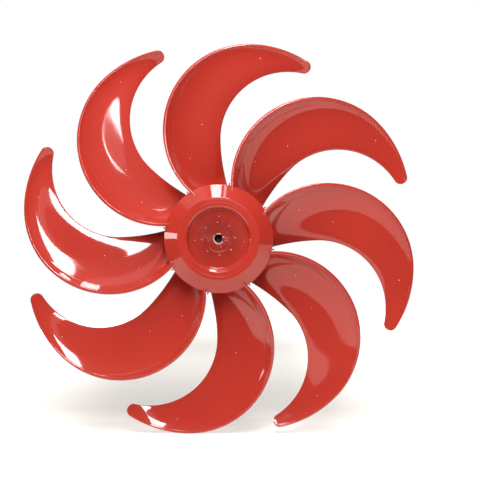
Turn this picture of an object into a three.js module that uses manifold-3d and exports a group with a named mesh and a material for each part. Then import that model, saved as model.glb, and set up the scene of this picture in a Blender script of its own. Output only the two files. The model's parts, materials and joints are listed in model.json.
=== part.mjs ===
// Small wind turbine rotor with eight sickle blades, on the shaft of a compact permanent magnet generator.
// Millimetres, +Z up. The shaft runs along Y: the front of the hub faces -Y, and the origin is the centre
// of the generator's rear mounting face, which faces +Y.

import * as THREE from 'three';
import { mergeVertices } from 'three/addons/utils/BufferGeometryUtils.js';
import Module from 'manifold-3d';

const wasm = await Module();
wasm.setup();

// ---------- driving dimensions ----------

const GAP = 0.3;                      // clearance between pieces that touch
const BLADES = 8;
const BLADE_STEP = 360 / BLADES;

const SHAFT_R = 4;
const SHAFT_FLAT = 3.1;               // distance of the D flat from the shaft's axis
const SHAFT_FRONT = -73;              // the shaft ends well inside the hub's bore
const SHAFT_REAR = -6.5;
const D_LENGTH = 20;                  // length of the D-shaped front end

const HUB_R = 54.5;
const HUB_SIDES = 40;
const HUB_WALL = 2.6;
const HUB_BACK = -50;
const HUB_RIM = -86;                  // where the skirt meets the conical rim
const HUB_FLOOR = -89;                // floor of the round recess
const LAND_FRONT = -96;               // crest of the raised ring
const LAND_R = 41;                    // outer radius of the raised ring
const RECESS_R = 31;
const EYE_R = 12.5;                   // small recess round the shaft hole
const FLANGE_R = 41;                  // the hub centre's flange, behind the raised ring
const BOSS_R = 9;
const BOSS_BACK = -60;

const PLATE_FRONT = -52.8;            // hub back plate
const PLATE_BACK = -50.6;
const POST_R = 4;
const POST_CIRCLE = 36;
const BACK_SCREWS = 4;
const BACK_SCREW = { front: -66, headR: 3, head: 1.9, socketR: 1.2, socket: 0.9 };

const COLLAR_R = 13.5;
const COLLAR_FRONT = -71;
const COLLAR_BACK = -61;
const SET_SCREW_R = 2;
const CIRCLIP = { front: -48.9, back: -47.9, outer: 6.4, opening: 28 };

// Blade outline, as arcs in the X-Z plane for the blade at the top: centre, radius and the angles run
// through from root to tip. The front edge is the convex one, and the rear edge is the concave one.
const FRONT_ARCS = [
  { x: 30.5, z: 110.5, r: 86, from: 231, to: 90 },
  { x: 30.5, z: 87.1, r: 109.4, from: 90, to: 57 },
];
const REAR_ARCS = [
  { x: 191.5, z: 100.6, r: 190, from: 196.5, to: 180 },
  { x: 70.1, z: 100.6, r: 68.6, from: 180, to: 77.3 },
];
const TIP = { x: 86.6, z: 173.6, r: 6.3, apex: -20 };
const TIP_SHARE = 0.04;               // share of the blade's run that the rounded tip takes
const TIP_WIDTH = 12.4;               // blade's width where the rounded tip starts
const BLADE_T_ROOT = 2.6;
const BLADE_T_TIP = 1.7;
const FRONT_ROOT_Y = -88;             // depth of the front edge at the root
const FRONT_TIP_Y = -68.3;
const FRONT_SWEEP = 1.76;             // how soon the front edge turns back along the run
const REAR_ROOT_Y = -55;              // depth of the rear edge at the root
const REAR_TIP_Y = -61.8;
const REAR_SWEEP = 2.1;               // how steeply the rear edge starts forward from the root
const DISH_ROOT = 6.7;                // how far the blade's middle bows to the rear near the root
const DISH_FADE = 0.4;                // share of the run in which the dish fades
const DISH_TIP = 0.6;
const DISH_LEAN = 2.4;                // how far the dish leans towards the front edge near the root
const WARP = [0.4, -20, 35.4];        // lift of the rear edge, as a quadratic in the run
const WARP_REACH = 53;                // distance from the rear edge in which the lift fades
const ROOT_BLEND = 0.03;              // share of the run in which the root's flat section takes its form
const ROOT_SHARE = 0.15;              // share of the dish that the root itself has
const ALONG = 16;                     // steps from root to the rounded tip
const ACROSS = 5;                     // steps from rear edge to front edge
const TIP_ROWS = [0.975, 0.99, 0.998];

const TONGUE_FROM = 84.6;             // angles of the root tongue, from +X, for the blade at the top
const TONGUE_TO = 118.5;
const TONGUE_T = 2.4;
const TONGUE_IN = 46.2;
const TONGUE_OUT = 57;
const FOOT_T = 5;
const FOOT_OUT = 51;
const FOOT_SHARE = 0.86;              // the foot stops short of the tongue's front end
const TONGUE_BOW = 4.3;
const TONGUE_SET = 4;                 // the tongue's front end sits behind the blade's front edge

const GEN_R = 38;                     // generator housing, without its fins
const GEN_WALL = 3.7;
const FIN_R = 41.5;
const FINS = 24;
const FIN_T = 1.6;
const FIN_MARGIN = 2;                 // the fins stop short of the housing's ends
const PORT_Y = -23;                   // the lead's port, under the housing
const PORT_W = 17;
const PORT_H = 5;
const PORT_HOLE_R = 3.3;
const FRONT_COVER = { front: -46, back: -40 };
const HOUSING = { front: -39.7, back: -7.3 };
const REAR_COVER = { front: -7, back: 0 };
const BOLTS = 4;
const BOLT_CIRCLE = 38.6;
const LUG_R = 4.4;
const BOLT_R = 1.6;
const MOUNT_HOLES = 4;
const MOUNT_CIRCLE = 25;
const MOUNT_HOLE_R = 2.1;
const MOUNT_HOLE_DEPTH = 5;

const BEARING = {
  bore: 4, outer: 11, width: 7, ball: 1.9, pitch: 7.5, balls: 7, innerLand: 6.1, outerLand: 8.9,
};
const CAGE_T = 1;
const CAGE_W = 2.2;
const POCKET_WALL = 3;
const FRONT_BEARING_Y = -41.5;        // middle of each bearing
const REAR_BEARING_Y = -9.9;

const CORE = { front: -36, back: -15 };
const MAGNETS = 8;
const MAGNET_IN = 16.3;
const MAGNET_OUT = 20;
const TEETH = 9;
const BORE_R = 21;                    // stator bore, over the magnets
const YOKE_R = 29;                    // inner radius of the core's outer ring
const TOOTH_W = 6;
const SHOE_W = 11;
const SHOE_T = 2;
const COIL_W = 12.4;
const COIL_OVERHANG = 2.6;
const MAGNET_SPAN = 37;               // angle that each magnet covers
const CARRIER_HUB_R = 6.2;
const CARRIER_HUB = 1.5;              // how far the carrier's hub stands out in front
const SEAL = { outer: 7, front: -46.6, back: -45.2 };
const SEAL_HOLE_R = 7.3;
const BOLT = { headR: 2.8, headBack: -0.3, head: 2.4, socketR: 1.3, socket: 1.3, seatR: 3.1, seat: 3 };
const BOLT_END = 1.5;                 // wall left in front of each bolt
const GLAND = { threadR: 3, thread: 5, nutR: 6, nut: 4, capR: 4.9, cap: 2.5, neckR: 3.4, neck: 2, holeR: 1.7 };

// ---------- colours ----------

const finish = (color, roughness, metalness) => ({ color, roughness, metalness });
const RED = finish(0xbd2c20, 0.2, 0);
const STEEL = finish(0xb9bcbf, 0.3, 1);
const DARK_STEEL = finish(0x55585c, 0.45, 1);
const ALUMINIUM = finish(0xa9adb1, 0.4, 1);
const COPPER = finish(0xb06a3a, 0.35, 1);
const RUBBER = finish(0x1c1c1e, 0.8, 0);
const BLACK_PLASTIC = finish(0x232427, 0.5, 0);

// ---------- solids ----------

const rad = (degrees) => degrees * Math.PI / 180;
const mix = (a, b, t) => a + (b - a) * t;

function toSolid(geometry) {
  const bare = geometry.clone();
  bare.deleteAttribute('normal');
  bare.deleteAttribute('uv');
  const merged = mergeVertices(bare, 1e-4);
  const index = merged.index.array;
  const kept = [];
  for (let i = 0; i < index.length; i += 3) {
    const [a, b, c] = [index[i], index[i + 1], index[i + 2]];
    if (a !== b && b !== c && c !== a) kept.push(a, b, c);
  }
  const build = (triangles) => new wasm.Manifold(new wasm.Mesh({
    numProp: 3,
    vertProperties: new Float32Array(merged.attributes.position.array),
    triVerts: new Uint32Array(triangles),
  }));
  const solid = build(kept);
  if (solid.volume() > 0) return solid;
  return build(kept.reverse());
}

function toGeometry(solid) {
  const mesh = solid.getMesh();
  const geometry = new THREE.BufferGeometry();
  geometry.setAttribute('position', new THREE.BufferAttribute(new Float32Array(mesh.vertProperties), 3));
  geometry.setIndex(new THREE.BufferAttribute(new Uint32Array(mesh.triVerts), 1));
  geometry.computeVertexNormals();
  return geometry;
}

const cut = (solid, ...tools) => tools.reduce((left, tool) => left.subtract(tool), solid);
const join = (...solids) => solids.reduce((left, right) => left.add(right));

// A closed profile of [radius, y] points turned about the Y axis.
function turned(profile, sides = 30) {
  const points = profile.map(([r, y]) => new THREE.Vector2(r, y));
  const closed = profile[0][0] > 0 || profile.at(-1)[0] > 0;
  if (closed) points.push(points[0].clone());
  return toSolid(new THREE.LatheGeometry(points, sides));
}

const ring = (inner, outer, front, back, sides) =>
  turned([[inner, front], [outer, front], [outer, back], [inner, back]], sides);

const disc = (radius, front, back, sides) =>
  turned([[0, front], [radius, front], [radius, back], [0, back]], sides);

// A flat shape, drawn as seen from the front, run along Y from front to back.
function prism(shape, front, back, curveSegments = 12) {
  const depth = back - front;
  const geometry = new THREE.ExtrudeGeometry(shape, { depth, bevelEnabled: false, curveSegments });
  geometry.rotateX(rad(90));
  geometry.translate(0, back, 0);
  return toSolid(geometry);
}

function box(width, depth, height, x = 0, y = 0, z = 0) {
  const geometry = new THREE.BoxGeometry(width, depth, height);
  geometry.translate(x, y, z);
  return toSolid(geometry);
}

// A round bar along Y whose axis passes through x, z.
const bar = (radius, front, back, x = 0, z = 0, sides = 10) =>
  disc(radius, front, back, sides).translate([x, 0, z]);

// A round bar along X, from x0 to x1.
const crossBar = (radius, x0, x1, y, sides = 16) =>
  disc(radius, x0, x1, sides).rotate([0, 0, -90]).translate([0, y, 0]);

// Places that repeat round the shaft, as [x, z] pairs at a radius.
const around = (count, radius, start = 0) => Array.from({ length: count }, (_, i) => {
  const angle = rad(start + 360 * i / count);
  return [radius * Math.cos(angle), radius * Math.sin(angle)];
});

// A turn about the shaft, anticlockwise as seen from the front.
const spun = (solid, degrees) => solid.rotate([0, -degrees, 0]);

function dShape(radius, flat) {
  const half = Math.acos(flat / radius);
  return new THREE.Shape().absarc(0, 0, radius, half, 2 * Math.PI - half, false);
}

// ---------- blade surface ----------

const arcLength = (arc) => arc.r * rad(Math.abs(arc.to - arc.from));

const onArc = (arc, t) => {
  const angle = rad(mix(arc.from, arc.to, t));
  return [arc.x + arc.r * Math.cos(angle), arc.z + arc.r * Math.sin(angle)];
};

// The point a share s of the way along a chain of arcs.
function alongArcs(arcs, s) {
  const total = arcs.reduce((sum, arc) => sum + arcLength(arc), 0);
  let rest = s * total;
  for (const arc of arcs.slice(0, -1)) {
    if (rest < arcLength(arc)) return onArc(arc, rest / arcLength(arc));
    rest -= arcLength(arc);
  }
  return onArc(arcs.at(-1), Math.min(rest / arcLength(arcs.at(-1)), 1));
}

// The edge point at s, which runs from 0 at the root to 1 at the tip's apex.
function edgePoint(arcs, tipStart, s) {
  const straight = 1 - TIP_SHARE;
  if (s <= straight) return alongArcs(arcs, s / straight);
  return onArc({ ...TIP, from: tipStart, to: TIP.apex }, (s - straight) / TIP_SHARE);
}

// The middle surface: s from root to tip, v from the rear edge (0) to the front edge (1).
function bladePoint(s, v) {
  const run = Math.max(s, 0);
  const [fx, fz] = edgePoint(FRONT_ARCS, FRONT_ARCS.at(-1).to, s);
  const [rx, rz] = edgePoint(REAR_ARCS, REAR_ARCS.at(-1).to - 180, s);
  const formed = 1 - Math.exp(-run / ROOT_BLEND);
  const ending = Math.max(1 - run ** 4, 0);
  const frontY = mix(FRONT_ROOT_Y, FRONT_TIP_Y, 1 - (1 - Math.min(run, 1)) ** FRONT_SWEEP);
  const rearY = mix(REAR_ROOT_Y, REAR_TIP_Y, REAR_SWEEP * run - (REAR_SWEEP - 1) * run ** 5);
  const bow = (DISH_ROOT * Math.exp(-run / DISH_FADE) + DISH_TIP) * ending * mix(ROOT_SHARE, 1, formed);
  const lean = DISH_LEAN * (1 - run) * formed;
  const dish = 4 * v * (1 - v) * (bow + 2 * lean * (2 * v - 1));
  const lift = (WARP[0] + WARP[1] * run + WARP[2] * run ** 2) * ending * formed;
  const width = Math.hypot(fx - rx, fz - rz);
  const warp = lift * Math.exp(-v * width / WARP_REACH);
  const pitch = (frontY - rearY) * Math.min(width / TIP_WIDTH, 1);
  const y = (frontY + rearY) / 2 + (v - 0.5) * pitch + dish + warp;
  return new THREE.Vector3(mix(rx, fx, v), y, mix(rz, fz, v));
}

// The tongue's middle surface: a slice of the blade's root run straight inwards, at radius r.
function tonguePoint(r, v) {
  const angle = rad(mix(TONGUE_FROM, TONGUE_TO, v));
  const y = mix(REAR_ROOT_Y, FRONT_ROOT_Y + TONGUE_SET, v) + TONGUE_BOW * v * (1 - v);
  return new THREE.Vector3(r * Math.cos(angle), y, r * Math.sin(angle));
}

// A closed sheet of given thickness about a surface, on a grid of rows by columns.
function sheet(point, rows, columns, thickness) {
  const step = 1e-3;
  const positions = [];
  for (const side of [-0.5, 0.5]) {
    for (const row of rows) {
      for (const column of columns) {
        const alongRow = point(row + step, column).sub(point(row - step, column));
        const alongColumn = point(row, column + step).sub(point(row, column - step));
        const normal = alongColumn.cross(alongRow).normalize();
        const centre = point(row, column);
        positions.push(...centre.addScaledVector(normal, side * thickness(row)).toArray());
      }
    }
  }
  const width = columns.length;
  const layer = rows.length * width;
  const index = [];
  const quad = (a, b, c, d) => index.push(a, b, c, a, c, d);
  for (let i = 0; i < rows.length - 1; i++) {
    for (let j = 0; j < width - 1; j++) {
      const a = i * width + j;
      quad(a, a + 1, a + width + 1, a + width);
      quad(layer + a, layer + a + width, layer + a + width + 1, layer + a + 1);
    }
  }
  for (let j = 0; j < width - 1; j++) {
    const last = (rows.length - 1) * width + j;
    quad(j, layer + j, layer + j + 1, j + 1);
    quad(last, last + 1, layer + last + 1, layer + last);
  }
  for (let i = 0; i < rows.length - 1; i++) {
    const a = i * width;
    const b = a + width - 1;
    quad(a, a + width, layer + a + width, layer + a);
    quad(b, layer + b, layer + b + width, b + width);
  }
  const geometry = new THREE.BufferGeometry();
  geometry.setAttribute('position', new THREE.BufferAttribute(new Float32Array(positions), 3));
  geometry.setIndex(index);
  return toSolid(geometry);
}

const steps = (from, to, count) => Array.from({ length: count + 1 }, (_, i) => mix(from, to, i / count));

// ---------- rotor pieces ----------

// The hub's outer face, from the skirt's back edge to the recess, pushed out by a clearance.
function hubFace(clear) {
  return [
    [HUB_R + clear, HUB_BACK], [HUB_R + clear, HUB_RIM - 0.4 * clear],
    [LAND_R, HUB_RIM - 9 - clear], [LAND_R - 3, LAND_FRONT - clear],
    [RECESS_R + 3, LAND_FRONT - clear], [RECESS_R + 0.8, LAND_FRONT + 1 - clear],
  ];
}

const postPlaces = () => around(BACK_SCREWS, POST_CIRCLE, 45);

function tongue(grow) {
  const margin = grow / HUB_R / rad(TONGUE_TO - TONGUE_FROM);
  const start = grow > 0 ? -0.2 : 0;
  const inner = grow > 0 ? FOOT_OUT - 1 : TONGUE_IN;
  const strip = sheet(tonguePoint, [inner, TONGUE_OUT], steps(start, 1 + margin, ACROSS),
    () => TONGUE_T + 2 * grow);
  if (grow > 0) return strip;
  return join(strip, sheet(tonguePoint, [TONGUE_IN, FOOT_OUT], steps(0, FOOT_SHARE, ACROSS - 1), () => FOOT_T));
}

// The skirt, the conical rim and the raised ring, with the slots for the blade roots.
function hubShell() {
  const seat = HUB_FLOOR - GAP;
  const under = LAND_FRONT + HUB_WALL + 1;
  const shell = turned([
    ...hubFace(0), [RECESS_R, seat], [RECESS_R + 2.4, seat], [RECESS_R + 3.6, under], [LAND_R - 2, under],
    [HUB_R - HUB_WALL, HUB_RIM + 1.6], [HUB_R - HUB_WALL, HUB_BACK],
  ], HUB_SIDES);
  return cut(shell, ...steps(0, BLADES - 1, BLADES - 1).map((k) => spun(tongue(GAP), k * BLADE_STEP)));
}

// The floor of the recess, with the boss for the shaft and the screw posts behind it.
function hubCentre() {
  const back = HUB_FLOOR + HUB_WALL;
  const web = turned([
    [0, HUB_FLOOR + 1], [EYE_R, HUB_FLOOR + 1], [EYE_R + 0.5, HUB_FLOOR], [FLANGE_R, HUB_FLOOR],
    [FLANGE_R, back], [BOSS_R, back + 1], [BOSS_R, BOSS_BACK], [0, BOSS_BACK],
  ], HUB_SIDES);
  const posts = postPlaces().map(([x, z]) =>
    cut(bar(POST_R, HUB_FLOOR + 1, PLATE_FRONT - GAP, x, z),
      bar(BOLT_R + GAP, BACK_SCREW.front - 2, PLATE_FRONT, x, z)));
  const bore = prism(dShape(SHAFT_R + GAP, SHAFT_FLAT + GAP), LAND_FRONT, HUB_BACK);
  const setHole = crossBar(SET_SCREW_R + GAP, 0, COLLAR_R, (COLLAR_FRONT + COLLAR_BACK) / 2);
  return cut(join(web, ...posts), bore, setHole);
}

function blade() {
  const rows = [...steps(0, 1 - TIP_SHARE, ALONG), ...TIP_ROWS];
  const outer = sheet(bladePoint, rows, steps(0, 1, ACROSS), (s) => mix(BLADE_T_ROOT, BLADE_T_TIP, s));
  const face = hubFace(GAP);
  const behind = HUB_BACK + 20;
  const reach = [[0, behind], [face[0][0], behind], ...face.slice(1), [0, face.at(-1)[1]]];
  const envelope = turned(reach, HUB_SIDES);
  return join(cut(outer, envelope), tongue(0));
}

function hubBackPlate() {
  const holes = postPlaces().map(([x, z]) => bar(BOLT_R + GAP, PLATE_FRONT - 1, PLATE_BACK + 1, x, z, 12));
  const plate = turned([
    [COLLAR_R + 1, PLATE_FRONT - 2.4], [COLLAR_R + 3, PLATE_FRONT - 2.4], [COLLAR_R + 3.6, PLATE_FRONT],
    [HUB_R - HUB_WALL - GAP, PLATE_FRONT], [HUB_R - HUB_WALL - GAP, PLATE_BACK], [COLLAR_R + 1, PLATE_BACK],
  ]);
  return cut(plate, ...holes);
}

function backScrew([x, z]) {
  const { front, headR, head, socketR, socket } = BACK_SCREW;
  const seat = PLATE_BACK + GAP;
  const top = cut(disc(headR, seat, seat + head, 16), disc(socketR, seat + head - socket, seat + head + 1, 6));
  return join(top, disc(BOLT_R, front, seat + 0.1, 10)).translate([x, 0, z]);
}

function shaftCollar() {
  const middle = (COLLAR_FRONT + COLLAR_BACK) / 2;
  const body = turned([
    [BOSS_R + GAP, COLLAR_FRONT], [COLLAR_R - 0.8, COLLAR_FRONT], [COLLAR_R, COLLAR_FRONT + 0.8],
    [COLLAR_R, COLLAR_BACK - 0.8], [COLLAR_R - 0.8, COLLAR_BACK], [BOSS_R + GAP, COLLAR_BACK],
  ], 24);
  return cut(body, crossBar(SET_SCREW_R + GAP, 0, COLLAR_R + 2, middle));
}

function setScrew() {
  const middle = (COLLAR_FRONT + COLLAR_BACK) / 2;
  const socket = crossBar(1, COLLAR_R - 2, COLLAR_R + 1, middle, 6);
  return cut(crossBar(SET_SCREW_R, SHAFT_FLAT + GAP, COLLAR_R - 0.4, middle), socket);
}

function rotorShaft() {
  const flatEnd = SHAFT_FRONT + D_LENGTH;
  const tip = turned([[0, SHAFT_FRONT], [SHAFT_R - 0.8, SHAFT_FRONT], [SHAFT_R, SHAFT_FRONT + 0.8],
    [SHAFT_R, SHAFT_REAR - 0.6], [SHAFT_R - 0.6, SHAFT_REAR], [0, SHAFT_REAR]], 24);
  return cut(tip, box(4, flatEnd - SHAFT_FRONT + 2, 12, SHAFT_FLAT + 2, (flatEnd + SHAFT_FRONT) / 2 - 1, 0));
}

function circlip() {
  const open = rad(CIRCLIP.opening);
  const shape = new THREE.Shape().absarc(0, 0, CIRCLIP.outer, open, 2 * Math.PI - open, false);
  shape.absarc(0, 0, SHAFT_R + GAP, 2 * Math.PI - open * 1.1, open * 1.1, true);
  return prism(shape, CIRCLIP.front, CIRCLIP.back, 8);
}

const magnetCarrier = () => turned([
  [SHAFT_R + GAP, CORE.front - CARRIER_HUB], [CARRIER_HUB_R, CORE.front - CARRIER_HUB],
  [CARRIER_HUB_R, CORE.front], [MAGNET_IN - GAP, CORE.front],
  [MAGNET_IN - GAP, CORE.back], [SHAFT_R + GAP, CORE.back],
], 32);

function magnet(index) {
  const half = rad(MAGNET_SPAN / 2);
  const middle = rad(360 * index / MAGNETS);
  const shape = new THREE.Shape().absarc(0, 0, MAGNET_OUT, middle - half, middle + half, false);
  shape.absarc(0, 0, MAGNET_IN, middle + half, middle - half, true);
  return prism(shape, CORE.front, CORE.back, 4);
}

// ---------- bearing pieces, centred on y ----------

function innerRing(y) {
  const { bore, width, pitch, ball, innerLand } = BEARING;
  const track = pitch - ball - GAP;
  const [front, back] = [y - width / 2, y + width / 2];
  return turned([[bore + GAP, front], [innerLand, front], [innerLand, y - ball], [track, y - 1], [track, y + 1],
    [innerLand, y + ball], [innerLand, back], [bore + GAP, back]], 20);
}

function outerRing(y) {
  const { outer, width, pitch, ball, outerLand } = BEARING;
  const track = pitch + ball + GAP;
  const [front, back] = [y - width / 2, y + width / 2];
  return turned([[outer, front], [outer, back], [outerLand, back], [outerLand, y + ball], [track, y + 1],
    [track, y - 1], [outerLand, y - ball], [outerLand, front]], 24);
}

function ballCage(y) {
  const { pitch, ball, balls } = BEARING;
  const cage = ring(pitch - CAGE_T / 2, pitch + CAGE_T / 2, y - CAGE_W / 2, y + CAGE_W / 2, 14);
  return join(cage, ...around(balls, pitch, 90).map(([x, z]) =>
    toSolid(new THREE.SphereGeometry(ball, 7, 5)).translate([x, y, z])));
}

// ---------- generator pieces ----------

const boltPlaces = () => around(BOLTS, BOLT_CIRCLE, 45);

const flangeOutline = (front, back) => join(
  disc(GEN_R, front, back), ...boltPlaces().map(([x, z]) => bar(LUG_R, front, back, x, z)));

function frontCover() {
  const { front, back } = FRONT_COVER;
  const pocket = BEARING.outer + GAP;
  const bearingFront = FRONT_BEARING_Y - BEARING.width / 2 - GAP;
  const pocketEnd = FRONT_BEARING_Y + BEARING.width / 2 - 1;
  const body = join(flangeOutline(front, back), disc(pocket + POCKET_WALL, front, pocketEnd));
  const holes = boltPlaces().map(([x, z]) => bar(BOLT_R + GAP, front + BOLT_END, back + 1, x, z));
  return cut(body, disc(pocket, bearingFront, 0), disc(SEAL_HOLE_R, front - 1, 0, 20), ...holes);
}

function statorHousing() {
  const { front, back } = HOUSING;
  const finLength = back - front - 2 * FIN_MARGIN;
  const fin = box(FIN_R - GEN_R + 1, finLength, FIN_T, (FIN_R + GEN_R - 1) / 2, (front + back) / 2, 0);
  const lugs = boltPlaces().map(([x, z]) => bar(LUG_R, front, back, x, z));
  const angles = steps(0, FINS - 1, FINS - 1).map((i) => 360 / FINS * (i + 0.5));
  const clearOfPort = angles.filter((angle) => Math.abs(angle - 270) > 10);
  const port = box(PORT_W, PORT_W, PORT_H, 0, PORT_Y, -GEN_R - 1);
  const body = join(disc(GEN_R, front, back), port, ...lugs, ...clearOfPort.map((angle) => spun(fin, angle)));
  const leadHole = disc(PORT_HOLE_R, 0, GEN_R + 6, 16).rotate([-90, 0, 0]).translate([0, PORT_Y, 0]);
  return cut(body, disc(GEN_R - GEN_WALL, front - 1, back + 1), leadHole,
    ...boltPlaces().map(([x, z]) => bar(BOLT_R + GAP, front - 1, back + 1, x, z)));
}

function rearCover() {
  const { front, back } = REAR_COVER;
  const pocket = BEARING.outer + GAP;
  const bearingBack = REAR_BEARING_Y + BEARING.width / 2 + GAP;
  const body = join(flangeOutline(front, back), disc(pocket + POCKET_WALL, REAR_BEARING_Y - 3, back));
  const bolts = boltPlaces().flatMap(([x, z]) => [
    bar(BOLT_R + GAP, front - 1, back + 1, x, z), bar(BOLT.seatR, back - BOLT.seat, back + 1, x, z)]);
  const holes = around(MOUNT_HOLES, MOUNT_CIRCLE).map(([x, z]) =>
    bar(MOUNT_HOLE_R, back - MOUNT_HOLE_DEPTH, back + 1, x, z));
  return cut(body, disc(pocket, CORE.back, bearingBack), ...bolts, ...holes);
}

function statorCore() {
  const { front, back } = CORE;
  const outer = GEN_R - GEN_WALL - GAP;
  const middle = (front + back) / 2;
  const tooth = join(
    box(YOKE_R + 1 - BORE_R, back - front, TOOTH_W, (BORE_R + YOKE_R + 1) / 2, middle, 0),
    box(SHOE_T + 1, back - front, SHOE_W, BORE_R + (SHOE_T - 1) / 2, middle, 0));
  const teeth = steps(0, TEETH - 1, TEETH - 1).map((i) => spun(tooth, 360 / TEETH * (i + 0.25)));
  return cut(join(ring(YOKE_R, outer, front, back), ...teeth), disc(BORE_R, front - 1, back + 1, 54));
}

function statorCoil(index) {
  const { front, back } = CORE;
  const [from, to] = [BORE_R + SHOE_T + GAP, YOKE_R - 1.4];
  const middle = (front + back) / 2;
  const depth = back - front;
  const place = [(from + to) / 2, middle, 0];
  const winding = box(to - from, depth + 2 * COIL_OVERHANG, COIL_W, ...place);
  const window = box(to - from + 2, depth + 2 * GAP, TOOTH_W + 2 * GAP, ...place);
  return spun(cut(winding, window), 360 / TEETH * (index + 0.25));
}

const shaftSeal = () => ring(SHAFT_R + GAP, SEAL.outer, SEAL.front, SEAL.back, 20);

function housingBolt([x, z]) {
  const { headR, headBack, head, socketR, socket } = BOLT;
  const top = cut(disc(headR, headBack - head, headBack, 16), disc(socketR, headBack - socket, 0, 6));
  const shankFront = FRONT_COVER.front + BOLT_END + GAP;
  return join(top, disc(BOLT_R, shankFront, headBack - head + 0.2, 12)).translate([x, 0, z]);
}

// Built along Y with its outer end at the back, then turned to point down.
function leadGland() {
  const { threadR, thread, nutR, nut, capR, cap, neckR, neck, holeR } = GLAND;
  const top = GEN_R + 1 + PORT_H / 2 + GAP;
  const capEnd = top + nut + cap;
  const body = join(
    disc(threadR, top - thread, top + 1, 16), disc(nutR, top, top + nut, 6),
    turned([[0, top + nut - 0.5], [capR, top + nut - 0.5], [capR, capEnd], [neckR, capEnd + neck],
      [0, capEnd + neck]], 16));
  return cut(body, disc(holeR, 0, capEnd + neck + 1, 16)).rotate([-90, 0, 0]).translate([0, PORT_Y, 0]);
}

// ---------- assembly ----------

const turbine = new THREE.Group();

function place(name, solid, { color, roughness, metalness }, group) {
  const material = new THREE.MeshStandardMaterial({ color, roughness, metalness });
  const mesh = new THREE.Mesh(toGeometry(solid), material);
  mesh.name = name;
  group.add(mesh);
  return mesh;
}

function addRotor() {
  const rotor = new THREE.Group();
  turbine.add(rotor);
  place('hub_shell', hubShell(), RED, rotor);
  place('hub_centre', hubCentre(), RED, rotor);
  const oneBlade = blade();
  for (let k = 0; k < BLADES; k++) {
    place(`blade_${k + 1}`, oneBlade, RED, rotor).rotation.y = rad(k * BLADE_STEP);
  }
  place('hub_back_plate', hubBackPlate(), RED, rotor);
  postPlaces().forEach((spot, i) => place(`hub_back_screw_${i + 1}`, backScrew(spot), STEEL, rotor));
  place('shaft_collar', shaftCollar(), ALUMINIUM, rotor);
  place('collar_set_screw', setScrew(), DARK_STEEL, rotor);
  place('rotor_shaft', rotorShaft(), DARK_STEEL, rotor);
  place('shaft_circlip', circlip(), DARK_STEEL, rotor);
  place('magnet_carrier', magnetCarrier(), DARK_STEEL, rotor);
  for (let i = 0; i < MAGNETS; i++) place(`magnet_${i + 1}`, magnet(i), STEEL, rotor);
  place('front_bearing_inner_ring', innerRing(FRONT_BEARING_Y), STEEL, rotor);
  place('rear_bearing_inner_ring', innerRing(REAR_BEARING_Y), STEEL, rotor);
}

function addGenerator() {
  const generator = new THREE.Group();
  turbine.add(generator);
  place('front_cover', frontCover(), ALUMINIUM, generator);
  place('stator_housing', statorHousing(), ALUMINIUM, generator);
  place('rear_cover', rearCover(), ALUMINIUM, generator);
  place('stator_core', statorCore(), DARK_STEEL, generator);
  for (let i = 0; i < TEETH; i++) place(`stator_coil_${i + 1}`, statorCoil(i), COPPER, generator);
  place('front_bearing_outer_ring', outerRing(FRONT_BEARING_Y), STEEL, generator);
  place('rear_bearing_outer_ring', outerRing(REAR_BEARING_Y), STEEL, generator);
  place('shaft_seal', shaftSeal(), RUBBER, generator);
  boltPlaces().forEach((spot, i) => place(`housing_bolt_${i + 1}`, housingBolt(spot), DARK_STEEL, generator));
  place('lead_gland', leadGland(), BLACK_PLASTIC, generator);
}

function addBallCages() {
  place('front_bearing_ball_cage', ballCage(FRONT_BEARING_Y), STEEL, turbine);
  place('rear_bearing_ball_cage', ballCage(REAR_BEARING_Y), STEEL, turbine);
}

addRotor();
addGenerator();
addBallCages();

export default turbine;
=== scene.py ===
import json
import math

import bmesh
import bpy
from mathutils import Matrix, Vector
from mathutils.geometry import tessellate_polygon


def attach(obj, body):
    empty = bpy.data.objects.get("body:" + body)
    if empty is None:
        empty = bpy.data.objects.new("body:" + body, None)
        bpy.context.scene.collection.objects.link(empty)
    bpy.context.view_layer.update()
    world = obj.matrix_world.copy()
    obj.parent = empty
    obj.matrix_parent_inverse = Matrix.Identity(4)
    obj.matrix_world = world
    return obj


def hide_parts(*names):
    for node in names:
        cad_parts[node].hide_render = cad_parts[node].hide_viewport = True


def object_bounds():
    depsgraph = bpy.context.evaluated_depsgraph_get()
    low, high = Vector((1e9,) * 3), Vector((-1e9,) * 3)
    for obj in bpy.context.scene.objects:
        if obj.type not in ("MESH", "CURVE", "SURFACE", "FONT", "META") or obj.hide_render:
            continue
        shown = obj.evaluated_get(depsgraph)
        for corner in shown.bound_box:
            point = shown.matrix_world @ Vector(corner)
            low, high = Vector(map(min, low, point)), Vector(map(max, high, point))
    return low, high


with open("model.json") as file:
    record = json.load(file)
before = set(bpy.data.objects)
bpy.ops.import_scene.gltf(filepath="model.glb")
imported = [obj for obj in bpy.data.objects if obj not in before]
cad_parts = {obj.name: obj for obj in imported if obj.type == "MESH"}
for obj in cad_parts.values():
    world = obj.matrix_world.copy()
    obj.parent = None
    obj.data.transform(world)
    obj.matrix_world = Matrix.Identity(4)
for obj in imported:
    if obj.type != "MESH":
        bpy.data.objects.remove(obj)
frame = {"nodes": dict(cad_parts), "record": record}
cad_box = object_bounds()

# ---------- driving values, in millimetres, as in the CAD model ----------

MM = 0.001
BLADES = 8

SHAFT_R = 4
SHAFT_FLAT = 3.1       # from the axis to the flat of the D
GAP = 0.3              # clearance between neighbouring pieces
BORE_R = SHAFT_R + GAP

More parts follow.
